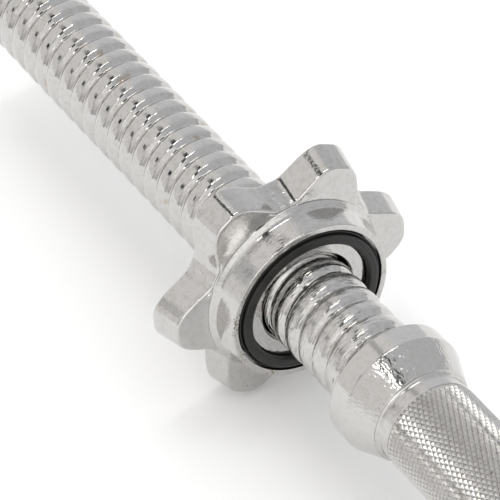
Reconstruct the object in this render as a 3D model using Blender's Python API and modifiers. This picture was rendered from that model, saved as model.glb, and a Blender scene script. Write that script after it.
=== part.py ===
"""Adjustable dumbbell handle: a threaded bar with a knurled grip, two inner collars
and two star collars, each with a rubber ring in its face.

Frame: metres, the bar along X, +Z up, the origin at the middle of the grip.
Each end has the same pieces. They are drawn in an end frame whose local +Z points
from the end of the bar towards the grip; the right end is the left one turned half
a turn about Z, so both threads are right-handed.
"""
import math

import bmesh
import bpy
from mathutils import Matrix

MM = 0.001
TURN = 2.0 * math.pi

# Bar
BAR_LENGTH = 508.0 * MM
JOURNAL_RADIUS = 12.55 * MM
ROD_INSET = 4.0 * MM
NECK_RADIUS = 12.4 * MM
KNURL_RADIUS = 12.6 * MM
KNURL_LENGTH = 115.2 * MM
TIP_CHAMFER = 1.5 * MM

# Thread: a coarse trapezoid, cut a little below the size of the bar
PITCH = 6.0 * MM
THREAD_RADIUS = 12.25 * MM
ROOT_RADIUS = 11.3 * MM
GROOVE_TOP_WIDTH = 3.1 * MM
GROOVE_ROOT_WIDTH = 1.2 * MM
THREAD_STEPS = 16
THREAD_CLEARANCE = 0.3 * MM

# Inner collar: a short cylinder and a cone down to the bar
COLLAR_FACE_X = 76.0 * MM
COLLAR_RADIUS = 16.8 * MM
COLLAR_CYLINDER_LENGTH = 6.0 * MM
COLLAR_LENGTH = 14.4 * MM
COLLAR_END_RADIUS = 13.4 * MM
COLLAR_CHAMFER = 0.5 * MM

# Star collar, measured from its lip, the face that points at the grip
LIP_X = 109.9 * MM
LOBES = 6
LOBE_TIP_HALF_ANGLE = math.radians(3.0)
VALLEY_HALF_ANGLE = math.radians(3.0)
STAR_FRONT_Z = -8.2 * MM
STAR_BACK_Z = -16.8 * MM
FRONT_TIP_RADIUS = 33.0 * MM
FRONT_VALLEY_RADIUS = 24.7 * MM
BACK_TIP_RADIUS = 35.0 * MM
BACK_VALLEY_RADIUS = 26.9 * MM
STAR_EDGE_ROUND = 0.9 * MM
POINTS_PER_LOBE = 10
HUB_LIP_RADIUS = 22.2 * MM
HUB_BASE_RADIUS = 23.3 * MM
HUB_BASE_Z = -6.4 * MM
HUB_FLARE_RADIUS = 24.4 * MM
HUB_FLARE_Z = -7.6 * MM
LIP_CHAMFER = 0.4 * MM
ANNULUS_Z = -1.2 * MM
BORE_CHAMFER = 1.4 * MM

# Rubber ring and the groove that holds it
SEAT_INNER_RADIUS = 16.5 * MM
SEAT_OUTER_RADIUS = 20.6 * MM
SEAT_FLOOR_Z = -3.4 * MM
RING_GAP = 0.3 * MM
RING_INNER_RADIUS = SEAT_INNER_RADIUS + RING_GAP
RING_OUTER_RADIUS = SEAT_OUTER_RADIUS - 0.4 * MM
RING_PROUD = 0.7 * MM
RING_EDGE_ROUND = 0.6 * MM

FIT_GAP = 0.3 * MM
TURNED_STEPS = 32
CUT_MARGIN = 1.0 * MM
MERGE = 0.00001

LEFT = -1
RIGHT = 1


def clear_scene():
    for obj in list(bpy.data.objects):
        bpy.data.objects.remove(obj, do_unlink=True)


def new_collection(name):
    collection = bpy.data.collections.new(name)
    bpy.context.scene.collection.children.link(collection)
    return collection


def new_material(name, colour, metallic, roughness):
    material = bpy.data.materials.new(name)
    material.use_nodes = True
    shader = material.node_tree.nodes["Principled BSDF"]
    shader.inputs["Base Color"].default_value = (*colour, 1.0)
    shader.inputs["Metallic"].default_value = metallic
    shader.inputs["Roughness"].default_value = roughness
    material.diffuse_color = (*colour, 1.0)
    return material


def to_end_frame(obj, side, distance):
    """Lay local Z along the bar, pointing at the grip, at this distance from the middle."""
    half_turn = 0.0 if side == LEFT else math.pi
    obj.location = (side * distance, 0.0, 0.0)
    obj.rotation_euler = (math.pi / 2, 0.0, math.pi / 2 + half_turn)


def profile_object(name, points, closed, collection):
    """A profile in the XZ plane: points are (radius, z), down the outer side."""
    mesh = bpy.data.meshes.new(name)
    bm = bmesh.new()
    verts = [bm.verts.new((radius, 0.0, z)) for radius, z in points]
    for start, end in zip(verts, verts[1:]):
        bm.edges.new((start, end))
    if closed:
        bm.edges.new((verts[-1], verts[0]))
    bm.to_mesh(mesh)
    bm.free()
    obj = bpy.data.objects.new(name, mesh)
    collection.objects.link(obj)
    return obj


def add_screw(obj, steps, turns=1.0, rise=0.0):
    screw = obj.modifiers.new("Turn", "SCREW")
    screw.axis = "Z"
    screw.angle = TURN * turns
    screw.screw_offset = rise
    screw.steps = steps
    screw.render_steps = steps
    screw.use_merge_vertices = rise == 0.0
    screw.merge_threshold = MERGE


def add_boolean(obj, other, operation):
    boolean = obj.modifiers.new(operation.title(), "BOOLEAN")
    boolean.operation = operation
    boolean.object = other
    boolean.solver = "EXACT"


def turned(name, points, closed, collection, steps=TURNED_STEPS):
    obj = profile_object(name, points, closed, collection)
    add_screw(obj, steps)
    return obj


def evaluated_mesh(obj, name):
    bpy.context.view_layer.update()
    depsgraph = bpy.context.evaluated_depsgraph_get()
    mesh = bpy.data.meshes.new_from_object(obj.evaluated_get(depsgraph))
    mesh.name = name
    return mesh


def helix(name, section, turns, start_angle, start_z, collection):
    """A closed section (radius, z) swept up a right-hand helix, with its ends filled."""
    strip = profile_object(name + "_section", section, True, collection)
    add_screw(strip, round(THREAD_STEPS * turns), turns, PITCH * turns)
    mesh = evaluated_mesh(strip, name)
    bpy.data.objects.remove(strip, do_unlink=True)
    bm = bmesh.new()
    bm.from_mesh(mesh)
    ends = [edge for edge in bm.edges if edge.is_boundary]
    bmesh.ops.holes_fill(bm, edges=ends, sides=len(section))
    placing = Matrix.Translation((0.0, 0.0, start_z)) @ Matrix.Rotation(start_angle, 4, "Z")
    bm.transform(placing)
    bmesh.ops.recalc_face_normals(bm, faces=bm.faces)
    bm.to_mesh(mesh)
    bm.free()
    obj = bpy.data.objects.new(name, mesh)
    collection.objects.link(obj)
    return obj


def smooth_shading(mesh):
    mesh.shade_smooth()
    mesh.set_sharp_from_angle(angle=math.radians(35.0))


def finished(mesh, name, material, collection, side, distance):
    smooth_shading(mesh)
    mesh.materials.clear()
    mesh.materials.append(material)
    obj = bpy.data.objects.new(name, mesh)
    collection.objects.link(obj)
    to_end_frame(obj, side, distance)
    return obj


def thread_turn():
    """One pitch of the bar's thread as (radius, z), with the crest's middle at z = 0."""
    crest_half = (PITCH - GROOVE_TOP_WIDTH) / 2
    root_half = GROOVE_ROOT_WIDTH / 2
    return [
        (THREAD_RADIUS, PITCH - crest_half),
        (ROOT_RADIUS, PITCH / 2 + root_half),
        (ROOT_RADIUS, PITCH / 2 - root_half),
        (THREAD_RADIUS, crest_half),
        (THREAD_RADIUS, -crest_half),
    ]


def threaded_rod(name, side, cutters):
    """One threaded end: a helical surface cut square at both ends and filled."""
    first_z = LIP_X - BAR_LENGTH / 2
    last_z = LIP_X - COLLAR_FACE_X + COLLAR_LENGTH - ROD_INSET
    turns_before = math.ceil(-first_z / PITCH) + 1
    turns = turns_before + math.ceil(last_z / PITCH) + 1
    strip = profile_object(name + "_turn", thread_turn(), False, cutters)
    add_screw(strip, THREAD_STEPS * turns, turns, PITCH * turns)
    mesh = evaluated_mesh(strip, name)
    bpy.data.objects.remove(strip, do_unlink=True)
    bm = bmesh.new()
    bm.from_mesh(mesh)
    bm.transform(Matrix.Translation((0.0, 0.0, -turns_before * PITCH)))
    bmesh.ops.remove_doubles(bm, verts=bm.verts, dist=MERGE)
    for z, outward in ((first_z, -1.0), (last_z, 1.0)):
        everything = bm.verts[:] + bm.edges[:] + bm.faces[:]
        bmesh.ops.bisect_plane(
            bm, geom=everything, dist=MERGE / 10, plane_co=(0.0, 0.0, z),
            plane_no=(0.0, 0.0, outward), clear_outer=True)
    ends = [edge for edge in bm.edges if edge.is_boundary]
    bmesh.ops.holes_fill(bm, edges=ends, sides=0)
    bmesh.ops.recalc_face_normals(bm, faces=bm.faces)
    bm.to_mesh(mesh)
    bm.free()
    rod = bpy.data.objects.new(name, mesh)
    cutters.objects.link(rod)
    to_end_frame(rod, side, LIP_X)
    return rod


def tip_chamfer_cutter(name, side, cutters):
    """A ring whose inner cone leaves the chamfer on the bar's tip."""
    outside = 2.0 * TIP_CHAMFER
    profile = [
        (THREAD_RADIUS + outside, TIP_CHAMFER + outside),
        (THREAD_RADIUS + outside, -TIP_CHAMFER),
        (THREAD_RADIUS - 2.0 * TIP_CHAMFER, -TIP_CHAMFER),
    ]
    cutter = turned(name, profile, True, cutters)
    to_end_frame(cutter, side, BAR_LENGTH / 2)
    return cutter


def make_bar(material, parts, cutters):
    """The plain middle with its knurled grip, joined to the two threaded ends."""
    knurl = KNURL_LENGTH / 2
    neck = COLLAR_FACE_X - COLLAR_LENGTH
    half = [
        (0.0, neck + COLLAR_LENGTH / 2),
        (JOURNAL_RADIUS, neck + COLLAR_LENGTH / 2),
        (JOURNAL_RADIUS, neck + FIT_GAP),
        (NECK_RADIUS, neck),
        (NECK_RADIUS, knurl),
        (KNURL_RADIUS, knurl - FIT_GAP),
    ]
    profile = half + [(radius, -z) for radius, z in reversed(half)]
    bar = turned("bar_middle", profile, False, cutters)
    to_end_frame(bar, LEFT, 0.0)
    rods = [threaded_rod("threaded_rod", side, cutters) for side in (LEFT, RIGHT)]
    chamfers = [tip_chamfer_cutter("tip_chamfer", side, cutters) for side in (LEFT, RIGHT)]
    for rod, chamfer in zip(rods, chamfers):
        add_boolean(bar, rod, "UNION")
        add_boolean(bar, chamfer, "DIFFERENCE")
    mesh = evaluated_mesh(bar, "bar")
    for helper in [bar] + rods + chamfers:
        bpy.data.objects.remove(helper, do_unlink=True)
    finished(mesh, "bar", material, parts, LEFT, 0.0)


def make_inner_collars(material, parts, cutters):
    bore = JOURNAL_RADIUS + FIT_GAP
    profile = [
        (COLLAR_END_RADIUS, COLLAR_LENGTH),
        (COLLAR_RADIUS, COLLAR_CYLINDER_LENGTH),
        (COLLAR_RADIUS, COLLAR_CHAMFER),
        (COLLAR_RADIUS - COLLAR_CHAMFER, 0.0),
        (bore, 0.0),
        (bore, COLLAR_LENGTH),
    ]
    shape = turned("inner_collar_shape", profile, True, cutters)
    mesh = evaluated_mesh(shape, "inner_collar")
    bpy.data.objects.remove(shape, do_unlink=True)
    finished(mesh, "inner_collar_left", material, parts, LEFT, COLLAR_FACE_X)
    finished(mesh, "inner_collar_right", material, parts, RIGHT, COLLAR_FACE_X)


def lobe_share(angle):
    """1 on a lobe's tip, 0 in a valley, and a smooth cosine flank between them."""
    sector = TURN / LOBES
    from_tip = abs((angle + sector / 2) % sector - sector / 2)
    flank = sector / 2 - LOBE_TIP_HALF_ANGLE - VALLEY_HALF_ANGLE
    share = min(max((from_tip - LOBE_TIP_HALF_ANGLE) / flank, 0.0), 1.0)
    return (1.0 + math.cos(math.pi * share)) / 2


def star_outline(tip_radius, valley_radius):
    count = LOBES * POINTS_PER_LOBE
    outline = []
    for index in range(count):
        angle = TURN * index / count
        radius = valley_radius + (tip_radius - valley_radius) * lobe_share(angle)
        outline.append((radius * math.cos(angle), radius * math.sin(angle)))
    return outline


def star_plate(cutters):
    """The six-lobed plate: wider at the back than at the front, as a casting's draft."""
    mesh = bpy.data.meshes.new("star_plate")
    bm = bmesh.new()
    front = star_outline(FRONT_TIP_RADIUS, FRONT_VALLEY_RADIUS)
    back = star_outline(BACK_TIP_RADIUS, BACK_VALLEY_RADIUS)
    face = bm.faces.new([bm.verts.new((x, y, STAR_FRONT_Z)) for x, y in front])
    extruded = bmesh.ops.extrude_face_region(bm, geom=[face], use_keep_orig=True)
    far_verts = [item for item in extruded["geom"] if isinstance(item, bmesh.types.BMVert)]
    for vert, (x, y) in zip(far_verts, back):
        vert.co = (x, y, STAR_BACK_Z)
    bmesh.ops.recalc_face_normals(bm, faces=bm.faces)
    bm.to_mesh(mesh)
    bm.free()
    plate = bpy.data.objects.new("star_plate", mesh)
    cutters.objects.link(plate)
    bevel = plate.modifiers.new("Round", "BEVEL")
    bevel.width = STAR_EDGE_ROUND
    bevel.segments = 2
    bevel.limit_method = "ANGLE"
    bevel.angle_limit = math.radians(50.0)
    return plate


def star_hub(cutters):
    inside_plate = (STAR_FRONT_Z + STAR_BACK_Z) / 2
    profile = [
        (0.0, 0.0),
        (HUB_LIP_RADIUS - LIP_CHAMFER, 0.0),
        (HUB_LIP_RADIUS, -LIP_CHAMFER),
        (HUB_BASE_RADIUS, HUB_BASE_Z),
        (HUB_FLARE_RADIUS, HUB_FLARE_Z),
        (HUB_FLARE_RADIUS, inside_plate),
        (0.0, inside_plate),
    ]
    return turned("star_hub", profile, False, cutters)


def face_cutter(cutters):
    """The shallow recess of the lip and the deeper groove for the rubber ring."""
    above = CUT_MARGIN
    profile = [
        (0.0, above),
        (SEAT_OUTER_RADIUS, above),
        (SEAT_OUTER_RADIUS, SEAT_FLOOR_Z),
        (SEAT_INNER_RADIUS, SEAT_FLOOR_Z),
        (SEAT_INNER_RADIUS, ANNULUS_Z),
        (0.0, ANNULUS_Z),
    ]
    return turned("star_face_cut", profile, False, cutters)


def bore_cutter(cutters):
    bore = ROOT_RADIUS + 0.5 * MM
    mouth = bore + BORE_CHAMFER
    profile = [
        (0.0, CUT_MARGIN),
        (mouth, CUT_MARGIN),
        (mouth, ANNULUS_Z),
        (bore, ANNULUS_Z - BORE_CHAMFER),
        (bore, STAR_BACK_Z + BORE_CHAMFER),
        (mouth, STAR_BACK_Z),
        (mouth, STAR_BACK_Z - CUT_MARGIN),
        (0.0, STAR_BACK_Z - CUT_MARGIN),
    ]
    return turned("star_bore_cut", profile, False, cutters, THREAD_STEPS)


def nut_thread_cutter(cutters):
    """The room that the bar's crest needs inside the star collar, with its clearance."""
    slope = (GROOVE_TOP_WIDTH - GROOVE_ROOT_WIDTH) / 2 / (THREAD_RADIUS - ROOT_RADIUS)
    crest_half = (PITCH - GROOVE_TOP_WIDTH) / 2 + THREAD_CLEARANCE
    major_radius = THREAD_RADIUS + 0.45 * MM
    inner_radius = ROOT_RADIUS - 0.1 * MM
    major_half = crest_half - slope * (major_radius - THREAD_RADIUS)
    inner_half = crest_half + slope * (THREAD_RADIUS - inner_radius)
    section = [
        (major_radius, major_half),
        (major_radius, -major_half),
        (inner_radius, -inner_half),
        (inner_radius, inner_half),
    ]
    turns = math.ceil(-STAR_BACK_Z / PITCH) + 2
    return helix("star_thread_cut", section, turns, 0.0, -(turns - 1) * PITCH, cutters)


def make_star_collars(material, parts, cutters):
    plate = star_plate(cutters)
    helpers = [star_hub(cutters), face_cutter(cutters), bore_cutter(cutters)]
    helpers.append(nut_thread_cutter(cutters))
    add_boolean(plate, helpers[0], "UNION")
    for cutter in helpers[1:]:
        add_boolean(plate, cutter, "DIFFERENCE")
    mesh = evaluated_mesh(plate, "star_collar")
    for helper in [plate] + helpers:
        bpy.data.objects.remove(helper, do_unlink=True)
    finished(mesh, "star_collar_left", material, parts, LEFT, LIP_X)
    finished(mesh, "star_collar_right", material, parts, RIGHT, LIP_X)


def make_rubber_rings(material, parts, cutters):
    profile = [
        (RING_INNER_RADIUS + RING_EDGE_ROUND, RING_PROUD),
        (RING_OUTER_RADIUS - RING_EDGE_ROUND, RING_PROUD),
        (RING_OUTER_RADIUS, RING_PROUD - RING_EDGE_ROUND),
        (RING_OUTER_RADIUS, SEAT_FLOOR_Z + RING_GAP),
        (RING_INNER_RADIUS, SEAT_FLOOR_Z + RING_GAP),
        (RING_INNER_RADIUS, RING_PROUD - RING_EDGE_ROUND),
    ]
    shape = turned("rubber_ring_shape", profile, True, cutters)
    mesh = evaluated_mesh(shape, "rubber_ring")
    bpy.data.objects.remove(shape, do_unlink=True)
    finished(mesh, "rubber_ring_left", material, parts, LEFT, LIP_X)
    finished(mesh, "rubber_ring_right", material, parts, RIGHT, LIP_X)


def main():
    clear_scene()
    parts = new_collection("dumbbell_handle")
    cutters = new_collection("cutters")
    bar_chrome = new_material("bar_chrome", (0.59, 0.58, 0.57), 1.0, 0.12)
    collar_chrome = new_material("collar_chrome", (0.59, 0.58, 0.57), 1.0, 0.10)
    star_chrome = new_material("star_chrome", (0.58, 0.57, 0.56), 1.0, 0.14)
    rubber = new_material("rubber", (0.02, 0.02, 0.019), 0.0, 0.5)
    make_bar(bar_chrome, parts, cutters)
    make_inner_collars(collar_chrome, parts, cutters)
    make_star_collars(star_chrome, parts, cutters)
    make_rubber_rings(rubber, parts, cutters)


main()
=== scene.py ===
"""The looks of the adjustable dumbbell handle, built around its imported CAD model.

Each end's pieces are drawn in an end frame, as in the CAD: local +Z points from the
end of the bar towards the grip, and z = 0 is the lip of the star collar.
"""

import math

import bmesh
import bpy
from mathutils import Euler, Matrix, Vector


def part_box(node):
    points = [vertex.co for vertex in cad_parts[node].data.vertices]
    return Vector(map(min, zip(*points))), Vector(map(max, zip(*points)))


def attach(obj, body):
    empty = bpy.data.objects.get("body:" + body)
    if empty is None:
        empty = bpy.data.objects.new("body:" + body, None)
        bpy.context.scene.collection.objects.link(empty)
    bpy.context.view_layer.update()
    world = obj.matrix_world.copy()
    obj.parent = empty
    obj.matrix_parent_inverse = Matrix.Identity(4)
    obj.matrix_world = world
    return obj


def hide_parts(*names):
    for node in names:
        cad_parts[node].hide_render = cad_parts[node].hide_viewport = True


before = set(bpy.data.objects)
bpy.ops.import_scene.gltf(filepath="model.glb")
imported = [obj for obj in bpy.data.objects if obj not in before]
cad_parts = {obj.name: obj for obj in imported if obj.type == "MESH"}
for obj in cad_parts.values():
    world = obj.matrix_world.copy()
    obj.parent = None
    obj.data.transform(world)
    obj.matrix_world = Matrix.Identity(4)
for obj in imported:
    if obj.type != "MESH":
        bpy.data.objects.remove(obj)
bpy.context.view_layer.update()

MM = 0.001
TURN = 2.0 * math.pi
LEFT, RIGHT = -1, 1
SIDES = (("left", LEFT), ("right", RIGHT))

# Places and outer sizes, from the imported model
BAR_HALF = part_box("bar")[1].x
COLLAR_LOW, COLLAR_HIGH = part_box("inner_collar_right")
COLLAR_FACE_X = COLLAR_HIGH.x
COLLAR_LENGTH = COLLAR_HIGH.x - COLLAR_LOW.x
COLLAR_RADIUS = COLLAR_HIGH.z
STAR_LOW, STAR_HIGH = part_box("star_collar_right")
LIP_X = STAR_LOW.x
STAR_BACK_Z = LIP_X - STAR_HIGH.x
RING_TOP_Z = LIP_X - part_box("rubber_ring_right")[0].x
FLOOR_Z = min(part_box("star_collar_left")[0].z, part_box("star_collar_right")[0].z)

# Thread: rounded crests, and a groove that starts CREST_HALF from the middle of a crest
PITCH = 6.0 * MM
CREST_RADIUS = 12.25 * MM
THREAD_DEPTH = 1.1 * MM
CREST_CROWN = 0.28 * MM
CREST_HALF = 1.45 * MM
THREAD_ROWS = 24
THREAD_STEPS = 96
TIP_CHAMFER = 1.5 * MM
CHAMFER_CUTS = (0.3, 0.6, 1.0)
NUT_CLEARANCE = 0.3 * MM

# Grip: the neck's fillet is its length, its corner's distance and its rise; the knurl's
# steps are each diamond's share of its full size, and the radius there
NECK_RADIUS = 12.4 * MM
NECK_CHAMFER = 0.1 * MM
NECK_FILLET = (1.5 * MM, 0.35 * MM, 0.75 * MM)
NECK_INSIDE = 9.8 * MM
NECK_GAP, THREAD_GAP = 0.02 * MM, 0.2 * MM
KNURL_STARTS = 57
KNURL_ROWS = 45
KNURL_AROUND, KNURL_HALF_ROWS = 2 * KNURL_STARTS, 2 * KNURL_ROWS
KNURL_HALF = 57.6 * MM
KNURL_TOP = 12.6 * MM
KNURL_ROOT = 12.2 * MM
KNURL_INSIDE = 11.8 * MM
KNURL_STEPS = ((0.88, 12.26 * MM), (0.15, KNURL_TOP))

# Inner collar
COLLAR_CYLINDER = 6.0 * MM
COLLAR_END_RADIUS = 13.4 * MM
COLLAR_BORE = 12.5 * MM
COLLAR_EDGES = (0.7 * MM, 0.3 * MM, 0.2 * MM)

# Star collar: the hub's side is (radius, z, cut-back) from its lip towards its flare
LOBES = 6
LOBE_TIP_HALF_ANGLE = math.radians(3.0)
VALLEY_HALF_ANGLE = math.radians(3.0)
STAR_FRONT_Z = -8.3 * MM
WALL_FRONT_Z = -8.2 * MM
FRONT_TIP, FRONT_VALLEY = 33.0 * MM, 24.7 * MM
BACK_TIP, BACK_VALLEY = 35.0 * MM, 26.9 * MM
FRONT_ROUND = 0.7 * MM
BACK_ROUND = 0.9 * MM
FLARE_RADIUS = 24.4 * MM
FLARE_Z = -7.6 * MM
HUB_SIDE = ((22.2 * MM, 0.0, 0.4 * MM), (22.66 * MM, -3.4 * MM, 2.2 * MM),
            (23.2 * MM, -6.35 * MM, 0.6 * MM))
FACE_FILLET = 3.6 * MM
FACE_RISE = 0.3 * MM
FACE_SHARES = (0.0, 0.12, 0.25, 0.4, 0.55, 0.7, 0.85)
WALL_DEPTH, WALL_SHARES = 6.8 * MM, (0.35, 0.7)
BACK_SHARES = (0.5, 0.85)
ANNULUS_Z = -1.2 * MM
BORE_RADIUS = 11.9 * MM
BORE_CHAMFER = 1.4 * MM
SEAT_INNER, SEAT_OUTER, SEAT_FLOOR_Z = 16.5 * MM, 20.6 * MM, -3.4 * MM
STAR_STEPS = 288
STAR_ANGLES = [TURN * step / STAR_STEPS for step in range(STAR_STEPS)]
BORE_ROWS = 36

# Rubber ring: the room round it in its seat, and the slot outside its main body
RING_INNER_GAP, RING_OUTER_GAP, RING_BASE_GAP = 0.3 * MM, 0.4 * MM, 0.3 * MM
RING_SHOULDER, RING_SLOT, RING_SLOT_Z = 0.4 * MM, 0.35 * MM, -1.5 * MM

# Steps round a turned shape and along the curves of a profile, the degrees at which an
# edge is sharp, and how much the large faces count in a normal
TURNED_STEPS = 160
FILLET_STEPS, ROUND_STEPS, NECK_STEPS = 5, 6, 8
SHARP, SHARP_ON_KNURL, SHARP_ON_STAR = 35.0, 15.0, 30.0
NORMAL_WEIGHT = 60

# Colours of the chrome plate, of what lies on it, and of the rubber
CHROME, HAZE_TINT = (0.585, 0.575, 0.565), (1.0, 0.985, 0.955)
BROWN_SPECK = (0.14, 0.085, 0.045)
BROWN_STAIN = (0.30, 0.21, 0.11)
GREY_SMEAR = (0.14, 0.135, 0.13)
BARE_BURR = (0.26, 0.22, 0.16)
DARK_DOT = (0.12, 0.09, 0.06)
BLACK_RUBBER, WORN_RUBBER = (0.010, 0.010, 0.0095), (0.022, 0.021, 0.019)
DUST = (0.11, 0.10, 0.085)

# Camera: its place, its turn in degrees, and its long lens and sensor in millimetres
CAMERA_AT = (0.57566, -0.39091, 0.76194)
CAMERA_TURN = (46.600, 3.714, 57.790)
CAMERA_LENS, CAMERA_SENSOR = 325.0, 36.0

# The sky by direction. Beyond its edge in y the wall stands in for the tent; both the
# wall's light and its edge change over a range of x. A panel is its range of x, its range
# of y, how soft its edge is, and its light. The dark panels come first, then the round
# dark spot, then the lamps.
TENT = (0.93, 0.915, 0.90)
LEFT_WALL, RIGHT_WALL, WALL_RANGE = (0.82, 0.835, 0.855), (0.67, 0.68, 0.695), (-0.62, -0.28)
WALL_EDGE_RANGE, WALL_EDGE, WALL_SOFT = (-0.34, -0.08), (0.30, -0.10), 0.12
DARK_PANELS = (
    ((-0.78, -0.42), (-0.10, 0.03), 0.03, (0.60, 0.60, 0.60)),
    ((-0.56, -0.41), (-0.12, 0.05), 0.015, (0.05, 0.05, 0.055)),
    ((0.22, 1.50), (-1.50, -0.86), 0.10, (0.45, 0.45, 0.455)),
    ((-0.34, 0.55), (-0.30, -0.11), 0.02, (0.10, 0.10, 0.105)),
    ((-0.45, -0.29), (-0.87, -0.67), 0.02, (0.66, 0.66, 0.66)),
    ((-0.15, -0.06), (-0.98, -0.38), 0.02, (0.32, 0.31, 0.30)),
)
DARK_SPOT_TOWARDS, DARK_SPOT_SIZE = (-0.50, -0.715, 0.485), 0.10
DARK_SPOT_LIGHT = (0.02, 0.02, 0.025)
LAMPS = (
    ((0.01, 0.15), (-0.40, -0.32), 0.02, (7.0, 7.0, 6.8)),
    ((-0.155, -0.08), (-0.11, 0.30), 0.02, (9.0, 9.0, 8.7)),
    ((0.44, 0.54), (-0.70, -0.05), 0.02, (1.5, 1.5, 1.5)),
    ((0.66, 0.83), (-0.80, 0.35), 0.03, (1.35, 1.35, 1.33)),
    ((0.84, 0.96), (-0.42, -0.15), 0.03, (2.5, 2.5, 2.5)),
)

# Floor and soft overhead light
FLOOR_DARK, FLOOR_LIGHT = (0.87, 0.87, 0.87), (0.89, 0.89, 0.89)
FLOOR_HALF = 40.0
FLOOR_GAP = 0.05 * MM
FLOOR_GLOW = 0.095
SUN_POWER = 1.0
SUN_ANGLE = math.radians(80.0)
SUN_TOWARDS = Vector((0.05, 0.35, 1.0))


# Meshes

def end_frame(side, distance):
    half_turn = 0.0 if side == LEFT else math.pi
    turn = Euler((math.pi / 2, 0.0, math.pi / 2 + half_turn))
    return Matrix.Translation((side * distance, 0.0, 0.0)) @ turn.to_matrix().to_4x4()


def new_mesh(name, bm, sharp_angle=SHARP):
    bmesh.ops.recalc_face_normals(bm, faces=bm.faces)
    mesh = bpy.data.meshes.new(name)
    bm.to_mesh(mesh)
    bm.free()
    mesh.shade_smooth()
    mesh.set_sharp_from_angle(angle=math.radians(sharp_angle))
    return mesh


def new_piece(name, mesh, material, body, nodes, side=LEFT, distance=0.0):
    piece = bpy.data.objects.new(name, mesh)
    bpy.context.scene.collection.objects.link(piece)
    piece.matrix_world = end_frame(side, distance)
    if not mesh.materials:
        mesh.materials.append(material)
    weighted = piece.modifiers.new("Normals", "WEIGHTED_NORMAL")
    weighted.keep_sharp = True
    weighted.weight = NORMAL_WEIGHT
    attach(piece, body)
    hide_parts(*nodes)
    return piece


def bezier(start, corner, end, steps):
    points = []
    for index in range(steps + 1):
        t = index / steps
        points.append(tuple(
            (1 - t) ** 2 * a + 2 * t * (1 - t) * b + t ** 2 * c
            for a, b, c in zip(start, corner, end)))
    return points


def filleted(corners):
    """A closed profile of (radius, z, cut-back): each corner rounded by its cut-back."""
    points = []
    for index, (radius, z, cut) in enumerate(corners):
        here = Vector((radius, z))
        if cut == 0.0:
            points.append((radius, z))
            continue
        before = Vector(corners[index - 1][:2])
        after = Vector(corners[(index + 1) % len(corners)][:2])
        start = here + (before - here).normalized() * cut
        end = here + (after - here).normalized() * cut
        points += bezier(start, here, end, FILLET_STEPS)
    return points


def join_rings(bm, rings, closed):
    pairs = list(zip(rings, rings[1:]))
    if closed:
        pairs.append((rings[-1], rings[0]))
    for ring, following in pairs:
        count = len(ring)
        for index in range(count):
            after = (index + 1) % count
            bm.faces.new((ring[index], ring[after], following[after], following[index]))


def ring_points(radius, z, steps):
    angles = [TURN * index / steps for index in range(steps)]
    return [(radius * math.cos(a), radius * math.sin(a), z) for a in angles]


def add_lathe(bm, profile):
    rings = [[bm.verts.new(p) for p in ring_points(r, z, TURNED_STEPS)] for r, z in profile]
    join_rings(bm, rings, True)


def smooth_step(value, low, high):
    t = min(max((value - low) / (high - low), 0.0), 1.0)
    return t * t * (3.0 - 2.0 * t)


def thread_radius(z):
    """The bar's radius this far along from the middle of a crest."""
    from_crest = abs((z / PITCH + 0.5) % 1.0 - 0.5) * PITCH
    crown = CREST_CROWN * (1.0 - math.cos(TURN * from_crest / PITCH)) / 2
    groove = (THREAD_DEPTH - CREST_CROWN) * smooth_step(from_crest, CREST_HALF, PITCH / 2)
    return CREST_RADIUS - crown - groove


def cut_across(bm, z, outward, clear):
    """Cut the mesh at this z, and clear what lies on the outward side if asked to."""
    everything = bm.verts[:] + bm.edges[:] + bm.faces[:]
    bmesh.ops.bisect_plane(
        bm, geom=everything, dist=1e-7, plane_co=(0.0, 0.0, z),
        plane_no=(0.0, 0.0, outward), clear_outer=clear)


def add_screw(bm, first_turn, turns):
    """The thread's surface in columns along the bar, each a step further up the screw."""
    columns = []
    for step in range(THREAD_STEPS):
        angle = TURN * step / THREAD_STEPS
        column = []
        for row in range(turns * THREAD_ROWS + 1):
            along = PITCH * row / THREAD_ROWS
            z = PITCH * first_turn + along + PITCH * step / THREAD_STEPS
            radius = thread_radius(along)
            column.append(bm.verts.new((radius * math.cos(angle), radius * math.sin(angle), z)))
        columns.append(column)
    for step in range(THREAD_STEPS):
        shift = 0 if step + 1 < THREAD_STEPS else THREAD_ROWS
        here, there = columns[step], columns[(step + 1) % THREAD_STEPS]
        for row in range(len(here) - 1 - shift):
            bm.faces.new((here[row], there[row + shift], there[row + 1 + shift], here[row + 1]))


def pull_in_tip(bm, tip_z):
    """The chamfer: no crest stands out of a cone of 45 degrees that starts at the tip."""
    for vert in bm.verts:
        allowed = CREST_RADIUS - TIP_CHAMFER + vert.co.z - tip_z
        radius = math.hypot(vert.co.x, vert.co.y)
        if radius > allowed:
            vert.co.x *= allowed / radius
            vert.co.y *= allowed / radius


def thread_mesh(name):
    """The whole threaded end: a screw surface, cut off flat and capped at both ends."""
    first_z = LIP_X - BAR_HALF
    last_z = LIP_X - COLLAR_FACE_X + COLLAR_LENGTH / 2
    first_turn = math.floor(first_z / PITCH) - 2
    turns = math.ceil(last_z / PITCH) + 1 - first_turn
    bm = bmesh.new()
    add_screw(bm, first_turn, turns)
    cut_across(bm, first_z, -1.0, True)
    cut_across(bm, last_z, 1.0, True)
    for share in CHAMFER_CUTS:
        cut_across(bm, first_z + TIP_CHAMFER * share, 1.0, False)
    loose = [vert for vert in bm.verts if not vert.link_faces]
    bmesh.ops.delete(bm, geom=loose, context="VERTS")
    pull_in_tip(bm, first_z)
    ends = [edge for edge in bm.edges if edge.is_boundary]
    bmesh.ops.holes_fill(bm, edges=ends, sides=0)
    return new_mesh(name, bm)


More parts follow.
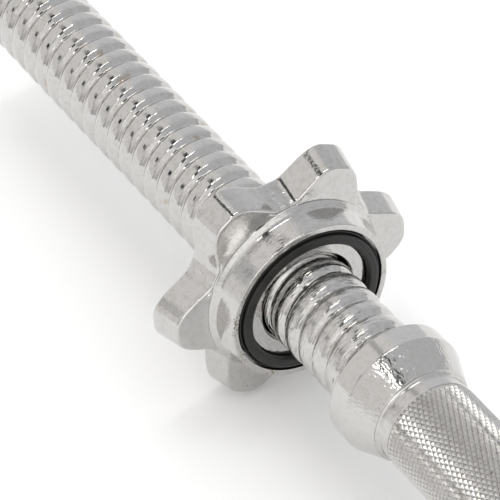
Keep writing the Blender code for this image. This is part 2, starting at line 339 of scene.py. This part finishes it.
def knurl_point(column, row, radius):
    """A point of the knurl: columns go round the grip, and rows along it."""
    angle = TURN * column / KNURL_STARTS
    z = -KNURL_HALF + 2.0 * KNURL_HALF / KNURL_ROWS * row
    return Vector((radius * math.cos(angle), radius * math.sin(angle), z))


def add_crossings(bm):
    """Where the knurl's grooves cross, by half columns and half rows."""
    crossings = {}
    for row in range(KNURL_HALF_ROWS + 1):
        for column in range(row % 2, KNURL_AROUND, 2):
            crossings[(column, row)] = bm.verts.new(knurl_point(column / 2, row / 2, KNURL_ROOT))
    return crossings


def add_diamonds(bm, crossings):
    """A flat-topped diamond between every four crossings."""
    steps = ((-1, 0), (0, -1), (1, 0), (0, 1))
    for row in range(1, KNURL_HALF_ROWS):
        for column in range((row + 1) % 2, KNURL_AROUND, 2):
            outer = [crossings[((column + dx) % KNURL_AROUND, row + dz)] for dx, dz in steps]
            for share, radius in KNURL_STEPS:
                inner = [
                    bm.verts.new(knurl_point(
                        (column + share * dx) / 2, (row + share * dz) / 2, radius))
                    for dx, dz in steps]
                join_rings(bm, [outer, inner], False)
                outer = inner
            bm.faces.new(outer)


def close_knurl(bm, crossings):
    """Flat half diamonds and a cap at each end."""
    for row, inward in ((0, 1), (KNURL_HALF_ROWS, -1)):
        rim = [crossings[(column, row)] for column in range(0, KNURL_AROUND, 2)]
        for index in range(KNURL_STARTS):
            peak = crossings[(2 * index + 1, row + inward)]
            bm.faces.new((rim[index], rim[(index + 1) % KNURL_STARTS], peak))
        smaller = KNURL_INSIDE / KNURL_ROOT
        inner = [bm.verts.new((v.co.x * smaller, v.co.y * smaller, v.co.z)) for v in rim]
        join_rings(bm, [rim, inner], False)
        bm.faces.new(inner)


def grip_mesh(name):
    """The knurl, and a plain neck at each end that runs in under the inner collar."""
    bm = bmesh.new()
    crossings = add_crossings(bm)
    add_diamonds(bm, crossings)
    close_knurl(bm, crossings)
    start = KNURL_HALF - NECK_CHAMFER
    end = COLLAR_FACE_X - COLLAR_LENGTH - NECK_GAP
    hidden = COLLAR_FACE_X - COLLAR_LENGTH / 2 - THREAD_GAP
    length, corner, rise = NECK_FILLET
    profile = [(NECK_INSIDE, start), (NECK_RADIUS - NECK_CHAMFER, start),
               (NECK_RADIUS, start + NECK_CHAMFER)]
    profile += bezier((NECK_RADIUS, end - length), (NECK_RADIUS, end - corner),
                      (NECK_RADIUS + rise, end), NECK_STEPS)
    profile += [(NECK_RADIUS, end), (NECK_RADIUS, hidden), (NECK_INSIDE, hidden)]
    for side in (-1, 1):
        add_lathe(bm, [(radius, side * z) for radius, z in profile])
    return new_mesh(name, bm, SHARP_ON_KNURL)


def inner_collar_mesh(name):
    """Its z = 0 is the face that stops the plates."""
    bm = bmesh.new()
    profile = filleted([
        (COLLAR_BORE, 0.0, 0.0),
        (COLLAR_RADIUS, 0.0, COLLAR_EDGES[0]),
        (COLLAR_RADIUS, COLLAR_CYLINDER, COLLAR_EDGES[1]),
        (COLLAR_END_RADIUS, COLLAR_LENGTH, COLLAR_EDGES[2]),
        (COLLAR_BORE, COLLAR_LENGTH, 0.0),
    ])
    add_lathe(bm, profile)
    return new_mesh(name, bm)


def lobe_share(angle):
    """1 on a lobe's tip, 0 in a valley, and a smooth cosine flank between them."""
    sector = TURN / LOBES
    from_tip = abs((angle + sector / 2) % sector - sector / 2)
    flank = sector / 2 - LOBE_TIP_HALF_ANGLE - VALLEY_HALF_ANGLE
    share = min(max((from_tip - LOBE_TIP_HALF_ANGLE) / flank, 0.0), 1.0)
    return (1.0 + math.cos(math.pi * share)) / 2


def wall_point(angle, z, inset):
    """A point of the lobed outline at this depth, moved in along its normal."""
    share = (WALL_FRONT_Z - z) / (WALL_FRONT_Z - STAR_BACK_Z)
    tip = FRONT_TIP + (BACK_TIP - FRONT_TIP) * share
    valley = FRONT_VALLEY + (BACK_VALLEY - FRONT_VALLEY) * share

    def on_outline(a):
        radius = valley + (tip - valley) * lobe_share(a)
        return Vector((radius * math.cos(a), radius * math.sin(a)))

    step = math.radians(0.5)
    along = on_outline(angle + step) - on_outline(angle - step)
    outward = Vector((along.y, -along.x)).normalized()
    point = on_outline(angle) - outward * inset
    return Vector((point.x, point.y, z))


def nut_radius(angle, z):
    """The star collar's bore: its own thread, with room for the bar's."""
    thread = thread_radius(z - PITCH * angle / TURN) + NUT_CLEARANCE
    front = BORE_RADIUS + z - (ANNULUS_Z - BORE_CHAMFER)
    back = BORE_RADIUS + (STAR_BACK_Z + BORE_CHAMFER) - z
    return max(thread, BORE_RADIUS, front, back)


def hub_profile():
    """(radius, z) from the mouth of the bore, over the ring's groove, to the front face."""
    return filleted([
        (BORE_RADIUS + BORE_CHAMFER, ANNULUS_Z, 0.12 * MM),
        (SEAT_INNER, ANNULUS_Z, 0.15 * MM),
        (SEAT_INNER, SEAT_FLOOR_Z, 0.0),
        (SEAT_OUTER, SEAT_FLOOR_Z, 0.0),
        (SEAT_OUTER, 0.0, 0.25 * MM),
        *HUB_SIDE,
        (FLARE_RADIUS, FLARE_Z, 0.2 * MM),
        (FLARE_RADIUS, STAR_FRONT_Z, 0.0),
        (0.0, STAR_FRONT_Z, 0.0),
    ])[:-2]


def face_ring(share):
    """A ring across the front face, which rises in a fillet to the flare of the hub."""
    ring = []
    for angle in STAR_ANGLES:
        edge = wall_point(angle, WALL_FRONT_Z, FRONT_ROUND)
        edge_radius = math.hypot(edge.x, edge.y)
        radius = FLARE_RADIUS + (max(edge_radius, FLARE_RADIUS) - FLARE_RADIUS) * share
        short = min(max((FLARE_RADIUS + FACE_FILLET - radius) / FACE_FILLET, 0.0), 1.0)
        rise = FACE_RISE * short ** 2 * (1.0 - share ** 2)
        direction = math.atan2(edge.y, edge.x)
        blended = angle + ((direction - angle + math.pi) % TURN - math.pi) * share
        ring.append((radius * math.cos(blended), radius * math.sin(blended),
                     STAR_FRONT_Z + rise))
    return ring


def back_ring(share):
    """A ring across the flat back, this share of the way in to the bore's mouth."""
    ring = []
    for angle in STAR_ANGLES:
        edge = wall_point(angle, STAR_BACK_Z, BACK_ROUND)
        radius = math.hypot(edge.x, edge.y)
        radius += (BORE_RADIUS + BORE_CHAMFER - radius) * share
        ring.append((radius * math.cos(angle), radius * math.sin(angle), STAR_BACK_Z))
    return ring


def star_mesh(name):
    """Rings from the bore's mouth over the hub, face, wall and back, then through the bore."""
    rings = [ring_points(radius, z, STAR_STEPS) for radius, z in hub_profile()]
    rings += [face_ring(share) for share in FACE_SHARES]
    wall = bezier((FRONT_ROUND, STAR_FRONT_Z), (0.0, STAR_FRONT_Z),
                  (0.0, STAR_FRONT_Z - FRONT_ROUND), ROUND_STEPS)
    wall += [(0.0, STAR_FRONT_Z - share * WALL_DEPTH) for share in WALL_SHARES]
    wall += bezier((0.0, STAR_BACK_Z + BACK_ROUND), (0.0, STAR_BACK_Z),
                   (BACK_ROUND, STAR_BACK_Z), ROUND_STEPS)
    rings += [[wall_point(a, z, inset) for a in STAR_ANGLES] for inset, z in wall]
    rings += [back_ring(share) for share in BACK_SHARES]
    for row in range(BORE_ROWS):
        z = STAR_BACK_Z + (ANNULUS_Z - STAR_BACK_Z) * row / BORE_ROWS
        rings.append([(nut_radius(a, z) * math.cos(a), nut_radius(a, z) * math.sin(a), z)
                      for a in STAR_ANGLES])
    bm = bmesh.new()
    join_rings(bm, [[bm.verts.new(p) for p in ring] for ring in rings], True)
    return new_mesh(name, bm, SHARP_ON_STAR)


def rubber_ring_mesh(name):
    """The ring in its seat: its top, with a fine groove round it, stands proud of the lip."""
    inner, outer = SEAT_INNER + RING_INNER_GAP, SEAT_OUTER - RING_OUTER_GAP
    base = SEAT_FLOOR_Z + RING_BASE_GAP
    shoulder = outer - RING_SHOULDER
    main = shoulder - RING_SLOT
    profile = filleted([
        (inner, base, 0.0),
        (outer, base, 0.0),
        (outer, -0.35 * MM, 0.15 * MM),
        (shoulder, -0.25 * MM, 0.1 * MM),
        (shoulder, RING_SLOT_Z, 0.0),
        (main, RING_SLOT_Z, 0.0),
        (main, RING_TOP_Z - 0.15 * MM, 0.45 * MM),
        (main - 1.15 * MM, RING_TOP_Z - 0.02 * MM, 0.2 * MM),
        (main - 1.3 * MM, RING_TOP_Z - 0.1 * MM, 0.1 * MM),
        (main - 1.45 * MM, RING_TOP_Z, 0.15 * MM),
        (inner, RING_TOP_Z, 0.6 * MM),
    ])
    bm = bmesh.new()
    add_lathe(bm, profile)
    return new_mesh(name, bm)


# Materials

class Tree:
    """Short names for the nodes that the materials and the sky are made of."""

    def __init__(self, tree):
        self.tree = tree

    def node(self, kind, **settings):
        node = self.tree.nodes.new(kind)
        for key, value in settings.items():
            setattr(node, key, value)
        return node

    def link(self, output, socket):
        self.tree.links.new(output, socket)

    def feed(self, socket, value):
        if isinstance(value, bpy.types.NodeSocket):
            self.link(value, socket)
        else:
            socket.default_value = value

    def math(self, operation, first, second=0.0):
        node = self.node("ShaderNodeMath", operation=operation)
        self.feed(node.inputs[0], first)
        self.feed(node.inputs[1], second)
        return node.outputs[0]

    def ramp(self, value, low, high, out_low=0.0, out_high=1.0):
        node = self.node("ShaderNodeMapRange", interpolation_type="SMOOTHSTEP", clamp=True)
        for name, number in (("From Min", low), ("From Max", high), ("To Min", out_low),
                             ("To Max", out_high)):
            self.feed(node.inputs[name], number)
        self.feed(node.inputs["Value"], value)
        return node.outputs["Result"]

    def band(self, value, low, high, soft):
        rise = self.ramp(value, low - soft, low + soft)
        fall = self.ramp(value, high - soft, high + soft, 1.0, 0.0)
        return self.math("MULTIPLY", rise, fall)

    def mix(self, share, first, second):
        node = self.node("ShaderNodeMix", data_type="RGBA")
        self.feed(node.inputs["Factor"], share)
        self.feed(node.inputs[6], first if not isinstance(first, tuple) else (*first, 1.0))
        self.feed(node.inputs[7], second if not isinstance(second, tuple) else (*second, 1.0))
        return node.outputs[2]

    def coordinates(self, scale=(1.0, 1.0, 1.0), rotation=(0.0, 0.0, 0.0)):
        source = self.node("ShaderNodeTexCoord").outputs["Object"]
        mapping = self.node("ShaderNodeMapping")
        mapping.inputs["Scale"].default_value = scale
        mapping.inputs["Rotation"].default_value = rotation
        self.link(source, mapping.inputs["Vector"])
        return mapping.outputs["Vector"]

    def noise(self, vector, scale, detail=2.0, roughness=0.5):
        node = self.node("ShaderNodeTexNoise")
        node.inputs["Scale"].default_value = scale
        node.inputs["Detail"].default_value = detail
        node.inputs["Roughness"].default_value = roughness
        self.link(vector, node.inputs["Vector"])
        return node.outputs["Fac"]

    def bump(self, height, distance, normal=None):
        node = self.node("ShaderNodeBump")
        node.inputs["Strength"].default_value = 1.0
        node.inputs["Distance"].default_value = distance
        self.link(height, node.inputs["Height"])
        if normal:
            self.link(normal, node.inputs["Normal"])
        return node.outputs["Normal"]


def new_material(name):
    material = bpy.data.materials.new(name)
    material.use_nodes = True
    tree = Tree(material.node_tree)
    shader = material.node_tree.nodes["Principled BSDF"]
    return material, tree, shader


def chrome(name, rough, haze, grain, scratch, streaks):
    """Chrome plate over worked steel.

    rough is its least and greatest roughness, haze how much darker its dull patches are,
    grain a scale and a height, scratch the depth of its scratches, and streaks the scale
    across them, the scale along local Z and the height of the marks left by turning.
    """
    material, tree, shader = new_material(name)
    shader.inputs["Metallic"].default_value = 1.0
    here = tree.coordinates()
    clouds = tree.noise(here, 130.0, 4.0, 0.6)
    fine_clouds = tree.noise(here, 700.0, 3.0, 0.6)
    scratches = tree.math("MAXIMUM", scratch_lines(tree, (0.3, 0.5, 0.4)),
                          scratch_lines(tree, (-0.5, -0.3, 0.9)))
    scratches = tree.math("MULTIPLY", scratches, tree.ramp(clouds, 0.42, 0.62))
    roughness = tree.ramp(clouds, 0.3, 0.7, *rough)
    roughness = tree.math("ADD", roughness, tree.math("MULTIPLY", scratches, 0.2))
    tree.link(roughness, shader.inputs["Roughness"])
    darker = tuple(part * (1.0 - haze) * tint for part, tint in zip(CHROME, HAZE_TINT))
    mottled = tree.mix(tree.ramp(fine_clouds, 0.4, 0.75), CHROME, darker)
    tree.link(mottled, shader.inputs["Base Color"])
    normal = tree.bump(tree.noise(here, grain[0], 2.0, 0.6), grain[1])
    normal = tree.bump(scratches, -scratch, normal)
    across, along, height = streaks
    marks = tree.noise(tree.coordinates((across, across, along)), 1.0, 1.5)
    tree.link(tree.bump(marks, height, normal), shader.inputs["Normal"])
    specks = tree.math(
        "MULTIPLY", tree.ramp(tree.noise(here, 1100.0, 2.0), 0.72, 0.78),
        tree.ramp(tree.noise(here, 60.0, 1.0), 0.50, 0.58))
    add_wear(tree, shader, specks, BROWN_SPECK, 4e-6)
    return material, tree, shader


def scratch_lines(tree, turn):
    stretched = tree.coordinates((150.0, 3600.0, 3600.0), turn)
    return tree.ramp(tree.noise(stretched, 1.0, 1.0), 0.69, 0.74)


def add_relief(tree, shader, height, distance):
    """Lay this relief over the one that the surface already has."""
    before = shader.inputs["Normal"].links[0].from_socket
    tree.link(tree.bump(height, distance, before), shader.inputs["Normal"])


def add_wear(tree, shader, mask, colour, depth):
    """Where the mask is 1 the surface has this colour, and lies this much deeper."""
    before = shader.inputs["Base Color"].links[0].from_socket
    tree.link(tree.mix(mask, before, colour), shader.inputs["Base Color"])
    add_relief(tree, shader, mask, -depth)


def from_axis(tree, here):
    """The distance from the bar's axis, which is local Z, and the place along it."""
    split = tree.node("ShaderNodeSeparateXYZ")
    tree.link(here, split.inputs[0])
    squares = [tree.math("POWER", output, 2.0) for output in split.outputs[:2]]
    return tree.math("SQRT", tree.math("ADD", *squares)), split.outputs[2]


def thread_chrome():
    """Rolled thread: brown stains low in its grooves, and rubbed streaks near the grip."""
    material, tree, shader = chrome(
        "thread_chrome", rough=(0.04, 0.10), haze=0.12, grain=(2600.0, 6e-6), scratch=4e-6,
        streaks=(260.0, 2600.0, 4e-5))
    here = tree.coordinates()
    radius, along = from_axis(tree, here)
    low = tree.ramp(radius, CREST_RADIUS - 0.25 * MM, CREST_RADIUS - 0.7 * MM)
    stains = tree.math("MULTIPLY", low, tree.ramp(tree.noise(here, 190.0, 3.0), 0.60, 0.68))
    add_wear(tree, shader, tree.math("MULTIPLY", stains, 0.4), BROWN_STAIN, 2e-6)
    rubbed = tree.ramp(along, STAR_BACK_Z, 0.0)
    rounds = tree.noise(tree.coordinates((260.0, 260.0, 3200.0), (0.0, 0.08, 0.0)), 1.0, 2.0)
    add_relief(tree, shader, tree.math("MULTIPLY", rounds, rubbed), 9e-5)
    smears = tree.math("MULTIPLY", tree.ramp(rounds, 0.56, 0.70),
                       tree.ramp(tree.noise(here, 130.0, 2.0), 0.42, 0.60))
    smears = tree.math("MULTIPLY", tree.math("MULTIPLY", smears, rubbed), 0.8)
    add_wear(tree, shader, smears, GREY_SMEAR, 2e-6)
    return material


def knurl_chrome():
    """Chrome over a rolled knurl, duller than the rest."""
    material, _, _ = chrome(
        "knurl_chrome", rough=(0.17, 0.26), haze=0.12, grain=(3200.0, 1.2e-5), scratch=3e-6,
        streaks=(900.0, 900.0, 2e-6))
    return material


def collar_chrome():
    """Chrome over turned steel, whose cone has chatter marks that break up reflections."""
    material, tree, shader = chrome(
        "collar_chrome", rough=(0.05, 0.09), haze=0.06, grain=(2600.0, 8e-6), scratch=3e-6,
        streaks=(400.0, 1900.0, 8e-6))
    here = tree.coordinates()
    _, along = from_axis(tree, here)
    marks = tree.noise(tree.coordinates((1400.0, 1400.0, 480.0)), 1.0, 1.5)
    on_cone = tree.ramp(along, COLLAR_CYLINDER - 1.0 * MM, COLLAR_CYLINDER + 0.5 * MM)
    add_relief(tree, shader, tree.math("MULTIPLY", marks, on_cone), 1.3e-4)
    return material


def star_chrome():
    """Chrome over a casting: grainy, scratched in its recess and pitted along its lip."""
    material, tree, shader = chrome(
        "star_chrome", rough=(0.03, 0.09), haze=0.12, grain=(1500.0, 3.0e-5), scratch=6e-6,
        streaks=(300.0, 300.0, 1.6e-5))
    here = tree.coordinates()
    radius, depth = from_axis(tree, here)
    lip = tree.math("MULTIPLY", tree.ramp(depth, -0.6 * MM, -0.25 * MM),
                    tree.ramp(radius, SEAT_OUTER - 0.3 * MM, SEAT_OUTER))
    pits = tree.ramp(tree.noise(here, 1100.0, 4.0, 0.7), 0.50, 0.62)
    worn = tree.ramp(tree.noise(here, 95.0, 2.0), 0.46, 0.56)
    burr = tree.math("MULTIPLY", tree.math("MULTIPLY", lip, pits), worn)
    add_wear(tree, shader, burr, BARE_BURR, 6e-5)
    recess = tree.band(depth, ANNULUS_Z - 0.2 * MM, ANNULUS_Z + 0.2 * MM, 0.1 * MM)
    dots = tree.ramp(tree.noise(here, 1500.0, 2.0), 0.68, 0.74)
    add_wear(tree, shader, tree.math("MULTIPLY", recess, dots), DARK_DOT, 1e-5)
    return material


def ring_rubber():
    """Black rubber with fine moulding rings, and dust in its texture."""
    material, tree, shader = new_material("ring_rubber")
    here = tree.coordinates()
    radius, _ = from_axis(tree, here)
    dust = tree.ramp(tree.noise(here, 1400.0, 4.0, 0.7), 0.55, 0.85)
    worn = tree.ramp(tree.noise(here, 160.0, 3.0), 0.35, 0.75)
    colour = tree.mix(worn, BLACK_RUBBER, WORN_RUBBER)
    colour = tree.mix(tree.math("MULTIPLY", dust, 0.3), colour, DUST)
    tree.link(colour, shader.inputs["Base Color"])
    tree.link(tree.ramp(worn, 0.0, 1.0, 0.36, 0.5), shader.inputs["Roughness"])
    shader.inputs["Specular IOR Level"].default_value = 0.35
    lines = tree.math("SINE", tree.math("MULTIPLY", radius, TURN / (0.55 * MM)))
    normal = tree.bump(lines, 1.2e-5)
    normal = tree.bump(tree.noise(here, 4200.0, 3.0, 0.6), 2e-5, normal)
    tree.link(normal, shader.inputs["Normal"])
    return material


# Stage

def make_sky():
    """A pale tent and wall with darker panels and a few lamps, all above the horizon."""
    world = bpy.data.worlds.new("studio")
    world.use_nodes = True
    bpy.context.scene.world = world
    tree = Tree(world.node_tree)
    background = world.node_tree.nodes["Background"]
    split = tree.node("ShaderNodeSeparateXYZ")
    direction = tree.node("ShaderNodeTexCoord").outputs["Generated"]
    tree.link(direction, split.inputs[0])
    x, y, z = split.outputs
    above = tree.ramp(z, 0.0, 0.02)

    def panel(x_range, y_range, soft):
        inside = tree.math("MULTIPLY", tree.band(x, *x_range, soft), tree.band(y, *y_range, soft))
        return tree.math("MULTIPLY", inside, above)

    wall = tree.mix(tree.ramp(x, *WALL_RANGE), LEFT_WALL, RIGHT_WALL)
    wall_edge = tree.ramp(x, *WALL_EDGE_RANGE, *WALL_EDGE)
    beyond = tree.math("SUBTRACT", y, wall_edge)
    colour = tree.mix(tree.ramp(beyond, -WALL_SOFT, WALL_SOFT), TENT, wall)
    for *place, light in DARK_PANELS:
        colour = tree.mix(panel(*place), colour, light)
    offset = tree.node("ShaderNodeVectorMath", operation="DISTANCE")
    tree.link(direction, offset.inputs[0])
    offset.inputs[1].default_value = DARK_SPOT_TOWARDS
    spot = tree.ramp(offset.outputs["Value"], 0.8 * DARK_SPOT_SIZE, DARK_SPOT_SIZE, 1.0, 0.0)
    colour = tree.mix(spot, colour, DARK_SPOT_LIGHT)
    for *place, light in LAMPS:
        colour = tree.mix(panel(*place), colour, light)
    tree.link(colour, background.inputs["Color"])
    background.inputs["Strength"].default_value = 1.0


def make_floor():
    material, tree, shader = new_material("studio_floor")
    shader.inputs["Roughness"].default_value = 0.9
    shader.inputs["Specular IOR Level"].default_value = 0.0
    here = tree.coordinates()
    grey = tree.mix(tree.noise(here, 6.0, 2.0), FLOOR_DARK, FLOOR_LIGHT)
    tree.link(grey, shader.inputs["Base Color"])
    tree.link(grey, shader.inputs["Emission Color"])
    shader.inputs["Emission Strength"].default_value = FLOOR_GLOW
    mesh = bpy.data.meshes.new("studio_floor")
    signs = ((-1, -1), (1, -1), (1, 1), (-1, 1))
    mesh.from_pydata([(x * FLOOR_HALF, y * FLOOR_HALF, 0.0) for x, y in signs], [],
                     [(0, 1, 2, 3)])
    mesh.materials.append(material)
    floor = bpy.data.objects.new("studio_floor", mesh)
    floor.location.z = FLOOR_Z - FLOOR_GAP
    bpy.context.scene.collection.objects.link(floor)


def make_sun():
    """A broad soft light from overhead, for the handle's shadow on the floor."""
    light = bpy.data.lights.new("soft_sun", "SUN")
    light.energy = SUN_POWER
    light.angle = SUN_ANGLE
    sun = bpy.data.objects.new("soft_sun", light)
    sun.rotation_euler = SUN_TOWARDS.normalized().to_track_quat("Z", "Y").to_euler()
    sun.visible_glossy = False
    bpy.context.scene.collection.objects.link(sun)


def make_camera():
    data = bpy.data.cameras.new("camera")
    data.lens = CAMERA_LENS
    data.sensor_width = CAMERA_SENSOR
    data.clip_start = 0.01
    data.clip_end = 100.0
    camera = bpy.data.objects.new("camera", data)
    turn = Euler([math.radians(angle) for angle in CAMERA_TURN])
    camera.matrix_world = Matrix.LocRotScale(CAMERA_AT, turn, None)
    bpy.context.scene.collection.objects.link(camera)
    bpy.context.scene.camera = camera


def make_handle():
    thread_finish = thread_chrome()
    collar_finish = collar_chrome()
    star_finish = star_chrome()
    black_rubber = ring_rubber()
    thread = thread_mesh("bar_thread")
    collar = inner_collar_mesh("inner_collar_turned")
    star = star_mesh("star_collar_cast")
    ring = rubber_ring_mesh("rubber_ring_moulded")
    new_piece("bar_grip", grip_mesh("bar_grip"), knurl_chrome(), "bar", ["bar"])
    for name, side in SIDES:
        new_piece("bar_thread_" + name, thread, thread_finish, "bar", ["bar"],
                  side, LIP_X)
        new_piece("turned_collar_" + name, collar, collar_finish, "bar",
                  ["inner_collar_" + name], side, COLLAR_FACE_X)
        new_piece("cast_star_" + name, star, star_finish, "star_" + name,
                  ["star_collar_" + name], side, LIP_X)
        new_piece("moulded_ring_" + name, ring, black_rubber, "ring_" + name,
                  ["rubber_ring_" + name], side, LIP_X)


make_handle()
make_sky()
make_floor()
make_sun()
make_camera()
bpy.context.scene.view_settings.view_transform = "Standard"
